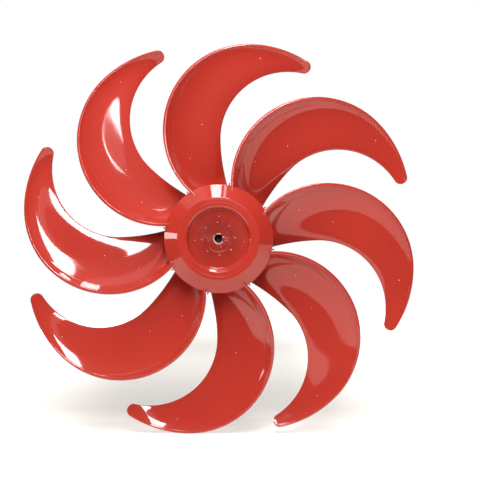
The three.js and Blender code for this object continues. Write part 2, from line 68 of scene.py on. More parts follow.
HUB_R = 54.5
HUB_WALL = 2.6
HUB_BACK = -50
HUB_RIM = -86
HUB_FLOOR = -89
LAND_FRONT = -96
LAND_R = 41
RECESS_R = 31
EYE_R = 12.5           # the shallow second recess round the shaft hole
EYE_DEPTH = 1
EYE_FLOOR = HUB_FLOOR + EYE_DEPTH
BOSS_R = 9
BOSS_BACK = -60

PLATE_FRONT = -52.8
PLATE_BACK = -50.6
POST_CIRCLE = 36
RIDGE_R = 31           # low ridge on the back plate
COLLAR_R = 13.5
COLLAR_FRONT = -71
COLLAR_BACK = -61
SCREW_R = 1.6
SCREW_HOLE_R = SCREW_R + GAP
SHAFT_FRONT = -73
SHAFT_REAR = -6.5
D_END = -53
GEN_R = 38
GEN_WALL = 3.7
FIN_R = 41.5
FINS = 24
FIN_MARGIN = 2         # from a fin's ends to the housing's
# a fin's half width at each radius
FIN_SIDE = ((GEN_R - 0.6, 1.25), (GEN_R + 0.1, 0.92), (FIN_R - 0.6, 0.68), (FIN_R - 0.17, 0.45))
COVER_FRONT = -46
COVER_BACK = -40
HOUSING_FRONT = -39.7
HOUSING_BACK = -7.3
REAR_FRONT = -7
BOLT_CIRCLE = 38.6
BACK_SCREW = dict(r=3, y=-50.3, height=1.9, socket=1.2, depth=0.9, shank=SCREW_R, front=-66)
BOLT = dict(r=2.8, y=-2.7, height=2.4, socket=1.3, depth=1.3, shank=SCREW_R, front=COVER_FRONT + 1.8)
LUG_R = 4.4
LUG_BLEND = 0.5        # fillet between a lug and the round cover
LUG_REACH = 1.6        # how far along the rim the fillet runs
SEAT_R = 3.1
SEAT_DEPTH = 3
MOUNT_CIRCLE = 25
MOUNT_HOLE_R = 2.1
MOUNT_HOLE_DEPTH = 5
SEAL_HOLE_R = 7.3
POCKET_R = 11.3        # bearing pockets of the covers
FRONT_POCKET = -45.3
REAR_POCKET = -6.1
REAR_END = -0.02       # rear face of the disc that closes the rear pocket
COVER_ROUND = 0.8      # rounded rims of the covers
PORT_Y = -23           # square pad for the lead, under the housing
PORT_W = 17
PORT_END = 41.5
PORT_ANGLE = 270
PORT_CLEAR = 10        # degrees on either side of the pad without a fin
LEAD_R = 1.7
GLAND_FOOT_R = 6
GLAND_FOOT_H = 4
GLAND_CAP_R = 4.9
GLAND_MOUTH_R = 3.6
GLAND_RIBS = 18

# The blade's two edges and its tip as arcs, seen from the front, with angles in degrees.
FRONT_ARCS = (
    dict(x=30.5, z=110.5, r=86, start=231, end=90),
    dict(x=30.5, z=87.1, r=109.4, start=90, end=57),
)
REAR_ARCS = (
    dict(x=191.5, z=100.6, r=190, start=196.5, end=180),
    dict(x=70.1, z=100.6, r=68.6, start=180, end=77.3),
)
TIP = dict(x=86.6, z=173.6, r=6.3)
TIP_APEX = -20         # degrees round the tip at which the two edges meet
TIP_SHARE = 0.04       # share of the blade's run that the rounded tip takes
TIP_WIDTH = 12.4       # width of the blade where its rounded tip starts
BLADE_T_ROOT = 2.6
BLADE_T_TIP = 1.7
FRONT_ROOT_Y = -88
FRONT_TIP_Y = -68.3
FRONT_SWEEP = 1.76     # how early the front edge turns back along the run
REAR_ROOT_Y = -55
REAR_TIP_Y = -61.8
REAR_SWEEP = 2.1       # how early the rear edge turns back along the run
DISH_ROOT = 6.7        # bow of the blade's middle to the rear, which fades along the run
DISH_FADE = 0.4
DISH_TIP = 0.6
DISH_LEAN = -2.4       # how far the dish leans towards the rear edge at the root
WARP = (0.4, -20.0, 35.4)   # lift of the rear edge along the run, as a quadratic
WARP_REACH = 53.0
ROOT_BLEND = 0.05      # share of the blade's run in which its dish forms
ROOT_SHARE = 0.7       # share of the dish that the root itself has

# ---------- scene: camera, floor and light, in metres ----------

VIEW_WIDTH = 0.4824    # width of the view at the blades
VIEW_X, VIEW_Z = 0.0214, -0.0013   # the camera's place across and up
LENS = 120.0
SENSOR = 36.0
BLADE_PLANE = -0.075

FLOOR_LEFT, FLOOR_RIGHT = -0.415, 2.2
FLOOR_FRONT, FLOOR_BACK = -0.59, 2.6
FLOOR_DROP = 0.0003    # from the rotor's lowest point to the floor
SHADOW_PATCH_GLOW = 0.06      # glow left in the painted shadow, a dim patch of floor behind the rotor
SHADOW_PATCH_MIDDLE = -0.02   # the painted shadow's middle in x
# Round the painted shadow the glow grows: each fade is where it starts, where it ends, and how much it adds.
FRONT_FADE = (0.20, -0.06, 0.5)
BACK_FADE = (0.2, 1.0, 0.38)
SIDE_FADE = (0.10, 0.24, 0.45)
FAR_FADE = (1.2, 2.1, 0.7)
FLOOR_TINT = (1.0, 0.95, 0.90, 1)
FLOOR_DULL = (0.67, 0.64, 0.60)
FLOOR_CLEAN = (0.68, 0.65, 0.61)

ROOM_GLOW = 0.06       # what a gloss sees of the dark room in front
ROOM_FILL = 0.04       # what the room adds to the light
BACKDROP_GLOW = 0.8    # what a gloss sees of the pale backdrop behind
BACKDROP_FROM = -0.1   # depth part of a direction at which the backdrop starts to show
BACKDROP_FULL = 0.4

# Lights that stand upright in front of the rotor: middle, size, lean in degrees, radiance.
UPRIGHT_LIGHTS = dict(
    window=dict(centre=(0.115, -1.0, 0.81), size=(0.168, 1.12), lean=15, glow=30),
    card=dict(centre=(0.02, -1.7, 0.52), size=(0.21, 0.80), lean=0, glow=0.9),
)
# Lights that are turned to a target. Those that aren't glossy don't show in the lacquer.
ROTOR_MIDDLE = (0, BLADE_PLANE, 0)
LEFT_BLADES = (-0.05, BLADE_PLANE, 0)
AIMED_LIGHTS = dict(
    ceiling_lamp=dict(size=(0.24, 0.36), glow=20, spot=(-0.085, -0.50, 1.16), target=ROTOR_MIDDLE),
    second_lamp=dict(size=(0.05, 0.36), glow=8, spot=(0.17, -0.50, 1.15), target=ROTOR_MIDDLE),
    side_panel=dict(size=(0.22, 0.16), glow=11, spot=(-1.3, -0.50, 0.08), target=LEFT_BLADES),
    haze_panel=dict(size=(1.1, 0.5), glow=0.75, spot=(-0.45, -0.62, 1.05), target=ROTOR_MIDDLE),
    overhead=dict(size=(0.8, 0.8), glow=4.7, spot=(0, -0.5, 1.6), target=ROTOR_MIDDLE, glossy=False),
    near_left=dict(size=(0.3, 0.3), glow=7.3, spot=(-0.30, -0.34, 0.44), target=(-0.05, BLADE_PLANE, 0.03),
                   glossy=False),
    back_panel=dict(size=(1.2, 0.7), glow=3.0, spot=(0.3, 1.5, 1.2), target=(0, 0, 0)),
)


def add_object(name, data):
    """A new object in the scene for a mesh, a light or a camera."""
    thing = bpy.data.objects.new(name, data)
    bpy.context.scene.collection.objects.link(thing)
    return thing


def add_camera():
    data = bpy.data.cameras.new("camera")
    data.lens = LENS
    data.sensor_width = SENSOR
    camera = add_object("camera", data)
    distance = VIEW_WIDTH * LENS / SENSOR
    camera.location = (VIEW_X, BLADE_PLANE - distance, VIEW_Z)
    camera.rotation_euler = (math.radians(90), 0, 0)
    bpy.context.scene.camera = camera


def add_light(name, size, glow, glossy=True):
    """A rectangular light whose face has the given radiance."""
    data = bpy.data.lights.new(name, "AREA")
    data.shape = "RECTANGLE"
    data.size, data.size_y = size
    data.energy = glow * math.pi * size[0] * size[1]
    light = add_object(name, data)
    light.visible_camera = False
    light.visible_glossy = glossy
    return light


def add_upright_light(name, centre, size, lean, glow):
    """A light that faces the rotor's side of the room and leans by an angle in its own plane."""
    light = add_light(name, size, glow)
    upright = Matrix.Rotation(math.radians(90), 4, "X")
    leaning = Matrix.Rotation(math.radians(lean), 4, "Y")
    light.matrix_world = Matrix.Translation(centre) @ leaning @ upright


def add_aimed_light(name, size, glow, spot, target, glossy=True):
    light = add_light(name, size, glow, glossy)
    light.location = spot
    light.rotation_euler = (Vector(target) - Vector(spot)).to_track_quat("-Z", "Y").to_euler()


def add_lights():
    for name, values in UPRIGHT_LIGHTS.items():
        add_upright_light(name, **values)
    for name, values in AIMED_LIGHTS.items():
        add_aimed_light(name, **values)


def add_world():
    """White to the camera, dark in front and pale behind to a gloss."""
    world = bpy.data.worlds.new("studio")
    world.use_nodes = True
    bpy.context.scene.world = world
    tree = world.node_tree
    path = tree.nodes.new("ShaderNodeLightPath")
    split = tree.nodes.new("ShaderNodeSeparateXYZ")
    place = tree.nodes.new("ShaderNodeTexCoord")
    tree.links.new(place.outputs["Generated"], split.inputs["Vector"])

    def blend(low, high, amount):
        """A mix of two numbers or sockets by a third socket."""
        node = tree.nodes.new("ShaderNodeMix")
        for socket, value in ((node.inputs["A"], low), (node.inputs["B"], high)):
            if isinstance(value, float):
                socket.default_value = value
            else:
                tree.links.new(value, socket)
        tree.links.new(amount, node.inputs["Factor"])
        return node.outputs["Result"]

    depth = tree.nodes.new("ShaderNodeMapRange")
    depth.inputs["From Min"].default_value = BACKDROP_FROM
    depth.inputs["From Max"].default_value = BACKDROP_FULL
    tree.links.new(split.outputs["Y"], depth.inputs["Value"])
    gloss = blend(ROOM_GLOW, BACKDROP_GLOW, depth.outputs["Result"])
    light = blend(ROOM_FILL, gloss, path.outputs["Is Glossy Ray"])
    seen = blend(light, 1.0, path.outputs["Is Camera Ray"])
    background = tree.nodes["Background"]
    background.inputs["Color"].default_value = (1, 1, 1, 1)
    tree.links.new(seen, background.inputs["Strength"])


def add_floor(height):
    outline = ((FLOOR_LEFT, FLOOR_FRONT), (FLOOR_RIGHT, FLOOR_FRONT), (FLOOR_RIGHT, FLOOR_BACK),
               (FLOOR_LEFT, FLOOR_BACK))
    mesh = bpy.data.meshes.new("floor")
    mesh.from_pydata([(x, y, height) for x, y in outline], [], [(0, 1, 2, 3)])
    mesh.materials.append(floor_paper())
    add_object("floor", mesh)


def floor_paper():
    """Pale paper that glows, apart from a painted shadow: a dim patch behind the rotor where the glow is
    low.
    """
    n = Nodes("floor_paper")
    split = n.add("ShaderNodeSeparateXYZ")
    n.link(n.place, split.inputs["Vector"])
    aside = n.sum(split.outputs["X"], -SHADOW_PATCH_MIDDLE)
    away = n.add("ShaderNodeMath", operation="ABSOLUTE")
    n.link(aside, away.inputs[0])
    depth, side = split.outputs["Y"], away.outputs["Value"]
    # the painted shadow: the glow is low behind the rotor and grows towards the patch's edges
    glow = SHADOW_PATCH_GLOW
    for source, fade in ((depth, FRONT_FADE), (depth, BACK_FADE), (depth, FAR_FADE), (side, SIDE_FADE)):
        start, end, more = fade
        growth = n.add("ShaderNodeMapRange", interpolation_type="SMOOTHSTEP", From_Min=start, From_Max=end,
                       To_Max=more)
        n.link(source, growth.inputs["Value"])
        glow = n.sum(growth.outputs["Result"], glow)
    n.link(glow, n.shader.inputs["Emission Strength"])
    grain = n.noise(40.0, 3.0)
    n.link(n.ramp(grain, [(0.3, FLOOR_DULL), (0.7, FLOOR_CLEAN)]), n.shader.inputs["Base Color"])
    n.set(Roughness=0.7, Emission_Color=FLOOR_TINT)
    return n.material


# ---------- material helpers ----------

MIX_A, MIX_B, MIX_RESULT = 6, 7, 2   # the colour sockets of a mix node


class Nodes:
    """A new material, with short calls for the nodes that the materials here share."""

    def __init__(self, name):
        self.material = bpy.data.materials.new(name)
        self.material.use_nodes = True
        self.tree = self.material.node_tree
        self.shader = self.tree.nodes["Principled BSDF"]
        self.place = self.tree.nodes.new("ShaderNodeTexCoord").outputs["Object"]

    def add(self, kind, **values):
        """A node with its settings, or its sockets' values where no setting has that name."""
        node = self.tree.nodes.new(kind)
        for key, value in values.items():
            if hasattr(node, key):
                setattr(node, key, value)
            else:
                node.inputs[key.replace("_", " ")].default_value = value
        return node

    def link(self, source, target):
        self.tree.links.new(source, target)

    def sum(self, one, two):
        """The sum of a socket and of a second socket or a number."""
        node = self.add("ShaderNodeMath", operation="ADD")
        self.link(one, node.inputs[0])
        if isinstance(two, float):
            node.inputs[1].default_value = two
        else:
            self.link(two, node.inputs[1])
        return node.outputs["Value"]

    def noise(self, scale, detail=3.0, rough=0.5, source=None):
        node = self.add("ShaderNodeTexNoise", Scale=scale, Detail=detail, Roughness=rough)
        self.link(source or self.place, node.inputs["Vector"])
        return node.outputs["Fac"]

    def ramp(self, source, stops):
        """A colour ramp through (position, colour) stops."""
        node = self.tree.nodes.new("ShaderNodeValToRGB")
        elements = node.color_ramp.elements
        while len(elements) < len(stops):
            elements.new(0.5)
        for element, (spot, colour) in zip(elements, stops):
            element.position = spot
            element.color = (*colour, 1)
        self.link(source, node.inputs["Fac"])
        return node.outputs["Color"]

    def grey(self, source, low, high, start=0.3, end=0.7):
        return self.ramp(source, [(start, (low,) * 3), (end, (high,) * 3)])

    def bump(self, source, strength, distance, normal=None):
        node = self.add("ShaderNodeBump", Strength=strength, Distance=distance)
        self.link(source, node.inputs["Height"])
        if normal:
            self.link(normal, node.inputs["Normal"])
        return node.outputs["Normal"]

    def set(self, **values):
        for key, value in values.items():
            self.shader.inputs[key.replace("_", " ")].default_value = value


# ---------- materials ----------

RED_DEEP = (0.312, 0.0195, 0.0115)
RED_LIGHT = (0.350, 0.0235, 0.0135)
# pinkish white painted on the pips and the chamfer specks as a highlight
RED_PAINTED_GLINT = (0.86, 0.56, 0.50, 1)
FLOW_SHADE = 0.6       # how strongly the flow lines show in the recess of the hub
FLOW_RELIEF = 0.32     # how far they stand out, as a share of that


def red_plastic(name, flow=0.0):
    """Lacquer-like moulded red. Points marked pale, on the moulding pips and the specks of the bore's
    chamfer, are painted a pinkish white as a highlight.
    """
    n = Nodes(name)
    cloud = n.noise(9.0, 2.0)
    red = n.ramp(cloud, [(0.3, RED_DEEP), (0.7, RED_LIGHT)])
    # points marked pale take the painted highlight colour
    pale = n.add("ShaderNodeAttribute", attribute_name="pale")
    blend = n.add("ShaderNodeMix", data_type="RGBA")
    n.link(pale.outputs["Fac"], blend.inputs["Factor"])
    n.link(red, blend.inputs[MIX_A])
    blend.inputs[MIX_B].default_value = RED_PAINTED_GLINT
    colour = blend.outputs[MIX_RESULT]
    if flow:
        rays = flow_lines(n)
        shade = n.add("ShaderNodeMix", data_type="RGBA", blend_type="MULTIPLY")
        shade.inputs["Factor"].default_value = 1.0
        n.link(colour, shade.inputs[MIX_A])
        n.link(n.grey(rays, 1.0, 1 - flow, 0.0, 0.8), shade.inputs[MIX_B])
        colour = shade.outputs[MIX_RESULT]
    n.link(colour, n.shader.inputs["Base Color"])
    haze = n.noise(60.0, 4.0)
    n.link(n.grey(haze, 0.42, 0.50), n.shader.inputs["Roughness"])
    n.link(n.grey(haze, 0.03, 0.07), n.shader.inputs["Coat Roughness"])
    skin = n.bump(n.noise(700.0, 2.0), 0.015, 0.0002)
    if flow:
        skin = n.bump(rays, flow * FLOW_RELIEF, 0.0012, skin)
    n.link(skin, n.shader.inputs["Normal"])
    n.link(skin, n.shader.inputs["Coat Normal"])
    n.set(IOR=1.49, Specular_IOR_Level=0.08, Coat_Weight=1.0, Coat_IOR=1.49)
    return n.material


def flow_lines(n):
    """Faint rays on the floor of the recess, where the melt ran outwards from the shaft hole."""
    split = n.add("ShaderNodeSeparateXYZ")
    n.link(n.place, split.inputs["Vector"])
    turn = n.add("ShaderNodeMath", operation="ARCTAN2")
    n.link(split.outputs["Z"], turn.inputs[0])
    n.link(split.outputs["X"], turn.inputs[1])
    flat = n.add("ShaderNodeCombineXYZ")
    n.link(split.outputs["X"], flat.inputs["X"])
    n.link(split.outputs["Z"], flat.inputs["Z"])
    reach = n.add("ShaderNodeVectorMath", operation="LENGTH")
    n.link(flat.outputs["Vector"], reach.inputs[0])
    polar = n.add("ShaderNodeCombineXYZ")
    n.link(turn.outputs["Value"], polar.inputs["X"])
    n.link(reach.outputs["Value"], polar.inputs["Y"])
    rays = n.noise(16.0, 2.0, 0.5, polar.outputs["Vector"])
    inside = n.add("ShaderNodeMapRange", From_Min=RECESS_R * MM, From_Max=(EYE_R + 2) * MM)
    n.link(reach.outputs["Value"], inside.inputs["Value"])
    both = n.add("ShaderNodeMath", operation="MULTIPLY")
    n.link(rays, both.inputs[0])
    n.link(inside.outputs["Result"], both.inputs[1])
    return both.outputs["Value"]


def metal(name, dark, light, rough, grain=220.0, bump=0.05):
    n = Nodes(name)
    spread = n.noise(grain, 4.0)
    n.link(n.ramp(spread, [(0.3, dark), (0.7, light)]), n.shader.inputs["Base Color"])
    n.link(n.grey(n.noise(grain * 0.4, 3.0), rough * 0.8, rough * 1.25), n.shader.inputs["Roughness"])
    n.link(n.bump(spread, bump, 0.0002), n.shader.inputs["Normal"])
    n.set(Metallic=1.0)
    return n.material


def laminated(name):
    n = Nodes(name)
    wave = n.add("ShaderNodeTexWave", wave_type="BANDS", bands_direction="Y", Scale=300.0)
    n.link(n.place, wave.inputs["Vector"])
    n.link(n.ramp(wave.outputs["Fac"], [(0.2, (0.10, 0.10, 0.11)), (0.8, (0.26, 0.26, 0.28))]),
           n.shader.inputs["Base Color"])
    n.link(n.bump(wave.outputs["Fac"], 0.4, 0.0002), n.shader.inputs["Normal"])
    n.set(Metallic=1.0, Roughness=0.45)
    return n.material


def wound_copper(name):
    n = Nodes(name)
    wave = n.add("ShaderNodeTexWave", wave_type="RINGS", rings_direction="Y", Scale=350.0, Distortion=0.6)
    n.link(n.place, wave.inputs["Vector"])
    n.link(n.ramp(wave.outputs["Fac"], [(0.1, (0.28, 0.09, 0.03)), (0.8, (0.72, 0.30, 0.13))]),
           n.shader.inputs["Base Color"])
    n.link(n.bump(wave.outputs["Fac"], 0.5, 0.0003), n.shader.inputs["Normal"])
    n.set(Metallic=1.0, Roughness=0.3)
    return n.material


def dark_polymer(name, low, high, rough):
    n = Nodes(name)
    grain = n.noise(700.0, 4.0)
    n.link(n.ramp(grain, [(0.3, low), (0.7, high)]), n.shader.inputs["Base Color"])
    n.link(n.bump(grain, 0.15, 0.0002), n.shader.inputs["Normal"])
    n.set(Roughness=rough)
    return n.material


def make_materials():
    return dict(
        hub_plastic=red_plastic("hub_plastic", FLOW_SHADE),
        blade_plastic=red_plastic("blade_plastic"),
        bright_steel=metal("bright_steel", (0.50, 0.50, 0.51), (0.66, 0.66, 0.67), 0.25),
        dark_steel=metal("dark_steel", (0.035, 0.036, 0.04), (0.075, 0.076, 0.08), 0.4),
        magnet_plating=metal("magnet_plating", (0.60, 0.59, 0.56), (0.75, 0.73, 0.69), 0.18),
        cast_aluminium=metal("cast_aluminium", (0.46, 0.47, 0.49), (0.60, 0.61, 0.63), 0.42, 500.0, 0.25),
        core_steel=laminated("core_steel"),
        copper_wire=wound_copper("copper_wire"),
        seal_rubber=dark_polymer("seal_rubber", (0.012, 0.012, 0.013), (0.025, 0.025, 0.027), 0.75),
        gland_plastic=dark_polymer("gland_plastic", (0.018, 0.018, 0.02), (0.03, 0.03, 0.033), 0.5),
    )


# ---------- mesh helpers ----------

SAME_POINT = 1e-7      # metres within which points are joined
FINE = 240             # sides of round shapes, from the largest to the smallest
ROUND = 192
COLLAR_SIDES = 128
SMALL_ROUND = 96
POST_SIDES = 64
HEAD_SIDES = 48
HOLE_SIDES = 40
STEM_SIDES = 32
RIM_STEPS = 4          # steps round a slab's rounded rim
SHARPEST = 0.5         # keeps sharp corners of an outline from moving in too far
PIP_SIDES = 10
PIP_RINGS = 3

# Turns a shape built along +Y so that it points down. What was +Z points along +Y.
DOWNWARD = Matrix.Rotation(math.radians(-90), 4, "X")


def smooth_mesh(name, vertices, faces, sharp, pale_from=None):
    """A smooth-shaded mesh from points in millimetres, with its edges sharp past an angle in degrees.

    Points from index pale_from on are marked pale, for a painted highlight.
    """
    mesh = bpy.data.meshes.new(name)
    mesh.from_pydata([Vector(v) * MM for v in vertices], [], faces)
    if pale_from is not None:
        marks = mesh.attributes.new("pale", "FLOAT", "POINT")
        marks.data.foreach_set("value", [float(i >= pale_from) for i in range(len(vertices))])
    tool = bmesh.new()
    tool.from_mesh(mesh)
    bmesh.ops.remove_doubles(tool, verts=tool.verts, dist=SAME_POINT)
    bmesh.ops.recalc_face_normals(tool, faces=tool.faces)
    tool.to_mesh(mesh)
    tool.free()
    mesh.polygons.foreach_set("use_smooth", [True] * len(mesh.polygons))
    mesh.set_sharp_from_angle(angle=math.radians(sharp))
    return mesh


def add_piece(name, mesh, body, slot, *replaced):
    """A visible piece that rides a body in place of CAD nodes."""
    piece = add_object(name, mesh)
    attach(piece, body)
    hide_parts(*replaced)
    mesh.materials.append(MATERIALS[slot])


HOLD = 0.12            # from a rounded corner's ends to the points that keep the flats beside it flat
CORNER_SHARE = 0.49    # the most that a rounded corner takes of the side next to it


def fillet(profile, radii, steps=6):
    """The profile's corners rounded: radii maps a corner's index to its radius."""
    rounded = []
    for i, corner in enumerate(profile):
        radius = radii.get(i, 0)
        if not radius:
            rounded.append(tuple(corner))
            continue
        here = Vector(corner)
        before = Vector(profile[i - 1]) - here
        after = Vector(profile[(i + 1) % len(profile)]) - here
        half = before.angle(after) / 2
        back = min(radius / math.tan(half), before.length * CORNER_SHARE, after.length * CORNER_SHARE)
        start, end = here + before.normalized() * back, here + after.normalized() * back
        if before.length * 0.5 > back + HOLD:
            rounded.append(tuple(start + before.normalized() * HOLD))
        for k in range(steps + 1):
            t = k / steps
            rounded.append(tuple(start * (1 - t) ** 2 + here * 2 * t * (1 - t) + end * t ** 2))
        if after.length * 0.5 > back + HOLD:
            rounded.append(tuple(end + after.normalized() * HOLD))
    return rounded


def lathe(profile, sides):
    """Vertices and faces of a closed profile of (radius, y) points turned about the Y axis."""
    vertices, faces = [], []
    count = len(profile)
    for k in range(sides):
        angle = 2 * math.pi * k / sides
        vertices += [(r * math.cos(angle), y, r * math.sin(angle)) for r, y in profile]
    for k in range(sides):
        here, there = k * count, (k + 1) % sides * count
        for i in range(count):
            j = (i + 1) % count
            faces.append((here + i, here + j, there + j, there + i))
    return vertices, faces


def merge(parts):
    """Joins several (vertices, faces) pairs into one."""
    vertices, faces = [], []
    for some, those in parts:
        shift = len(vertices)
        vertices += [tuple(v) for v in some]
        faces += [tuple(i + shift for i in face) for face in those]
    return vertices, faces


def moved(part, matrix):
    """A (vertices, faces) pair with its vertices moved by a matrix."""
    vertices, faces = part
    return [tuple(matrix @ Vector(v)) for v in vertices], faces


def circle(radius, sides, x=0.0, z=0.0, start=0.0):
    """Points (x, z) round a circle."""
    turns = [start + 2 * math.pi * k / sides for k in range(sides)]
    return [(x + radius * math.cos(turn), z + radius * math.sin(turn)) for turn in turns]


def shrunk(outline, depth):
    """An anticlockwise outline moved inwards along its own normals."""
    moved_in = []
    for i, here in enumerate(outline):
        before, after = Vector(outline[i - 1]), Vector(outline[(i + 1) % len(outline)])
        first, second = (Vector(here) - before).normalized(), (after - Vector(here)).normalized()
        normal = (Vector((-first.y, first.x)) + Vector((-second.y, second.x))).normalized()
        spread = max(normal.dot(Vector((-first.y, first.x))), SHARPEST)
        moved_in.append(tuple(Vector(here) + normal * depth / spread))
    return moved_in


def plate(outline, front, back, bevel, holes=()):
    """A slab along Y with rounded rims. A hole is (x, z, its (radius, y) steps from the back, sides)."""
    vertices, faces = [], []

    def add_ring(points, y):
        start = len(vertices)
        vertices.extend((x, y, z) for x, z in points)
        return list(range(start, len(vertices)))

    def bridge(rings):
        for one, two in zip(rings, rings[1:]):
            for i in range(len(one)):
                j = (i + 1) % len(one)
                faces.append((one[i], one[j], two[j], two[i]))

    turns = [math.pi / 2 * k / RIM_STEPS for k in range(RIM_STEPS + 1)]
    arc = [(1 - math.sin(turn), 1 - math.cos(turn)) for turn in turns]
    rim = [add_ring(shrunk(outline, bevel * depth), front + bevel * down) for depth, down in arc]
    rim += [add_ring(shrunk(outline, bevel * depth), back - bevel * down) for depth, down in reversed(arc)]
    bridge(rim)
    fronts, backs = [rim[0]], [rim[-1]]
    for x, z, steps, sides in holes:
        rings = [add_ring(circle(radius, sides, x, z), y) for radius, y in steps]
        bridge(rings)
        backs.append(rings[0])
        if steps[-1][1] == front:
            fronts.append(rings[-1])
        else:
            faces.append(tuple(rings[-1]))
    for loops in (fronts, backs):
        order = [i for loop in loops for i in loop]
        flat = [[Vector((vertices[i][0], vertices[i][2], 0)) for i in loop] for loop in loops]
        faces += [tuple(order[i] for i in triangle) for triangle in tessellate_polygon(flat)]
    return vertices, faces


def dome(centre, normal, radius, height):
    """A low round pip on a surface."""
    sides, rings = PIP_SIDES, PIP_RINGS
    normal = Vector(normal).normalized()
    across = normal.orthogonal().normalized()
    other = normal.cross(across)
    centre = Vector(centre)
    vertices = [centre + normal * height]
    faces = []
    for ring in range(1, rings + 1):
        tilt = math.pi / 2 * ring / rings
        for k in range(sides):
            turn = 2 * math.pi * k / sides
            spread = (across * math.cos(turn) + other * math.sin(turn)) * radius * math.sin(tilt)
            vertices.append(centre + spread + normal * height * math.cos(tilt))
    for k in range(sides):
        faces.append((0, 1 + k, 1 + (k + 1) % sides))
    for ring in range(rings - 1):
        for k in range(sides):
            a = 1 + ring * sides + k
            b = 1 + ring * sides + (k + 1) % sides
            faces.append((a, a + sides, b + sides, b))
    faces.append(tuple(1 + (rings - 1) * sides + k for k in range(sides)))
    return vertices, faces


# ---------- blades ----------

BLADE_ROWS = 110
TIP_ROWS = 12
FACE_STEPS = 44        # steps across the face inside the lip
BACK_STEPS = 30
EDGE_STEPS = 6
FINE_ROOM = 1.5        # a blade narrower than this many reaches of the fine points has them closer together
LAST_STATION = 0.9995  # just short of the tip, where the edges meet
EDGE_INSET = 0.9       # how much of the rounded edges' radius lies inside the outline, away from the root
INSET_START = 0.35     # share of the run in which that grows to its full value
BEAD_W = 2.0           # rolled bead along the front edge
BEAD_H = 0.32
LIP_W = 6.8            # flat lip inside the bead, ended by a fine groove
LIP_MIN = 1.4          # its width where it has no height left
LIP_H = 0.10
LIP_EDGE = 0.9         # width of its sloping edge
LIP_RISE = 0.10        # share of the run in which the lip forms
LIP_FADE_START = 0.36  # where along the run it starts to fade, and the share in which it does
LIP_FADE = 0.26
GROOVE_H = 0.16
GROOVE_W = 0.55
GROOVE_OFF = 0.5       # from the lip's end to the middle of the groove
GROOVE_SIDE = 1.1      # reach of the fine points on either side of it
FULL_RELIEF_W = 30     # width of a blade that has the bead at its full height
FOLD_W = 13.0          # the rear edge's folded corner at the root
FOLD_START = 0.02      # where along the run the fold starts, the share in which it forms, and where it ends
FOLD_RISE = 0.07
FOLD_END = 0.36
FOLD_SLOPE = 0.22
BLADE_PIPS = ((0.17, 0.60), (0.335, 0.34), (0.76, 0.55))   # (along, across) places of the moulding pips
BLADE_PIP = dict(radius=0.45, height=0.35)
PIP_SEAT = 0.9         # a pip's foot, as a share of the way out from the blade's middle to its face


def mix(a, b, t):
    return a + (b - a) * t


def smooth_step(t):
    t = min(max(t, 0.0), 1.0)
    return t * t * (3 - 2 * t)


def on_arc(arc, start, end, t):
    """The point (x, z) on an arc at the share t of the way between two angles in degrees."""
    angle = math.radians(mix(start, end, t))
    return Vector((arc["x"] + arc["r"] * math.cos(angle), arc["z"] + arc["r"] * math.sin(angle)))


def along_arcs(arcs, s):
    """The point at the share s of the length of several arcs in a row."""
    lengths = [arc["r"] * math.radians(abs(arc["end"] - arc["start"])) for arc in arcs]
    rest = s * sum(lengths)
    for arc, length in zip(arcs[:-1], lengths):
        if rest < length:
            return on_arc(arc, arc["start"], arc["end"], rest / length)
        rest -= length
    return on_arc(arcs[-1], arcs[-1]["start"], arcs[-1]["end"], rest / lengths[-1])


def edge_point(arcs, tip_start, s):
    """The point of a blade's edge at s: along its arcs, and then round the tip."""
    straight = 1 - TIP_SHARE
    if s <= straight:
        return along_arcs(arcs, s / straight)
    return on_arc(TIP, tip_start, TIP_APEX, (s - straight) / TIP_SHARE)


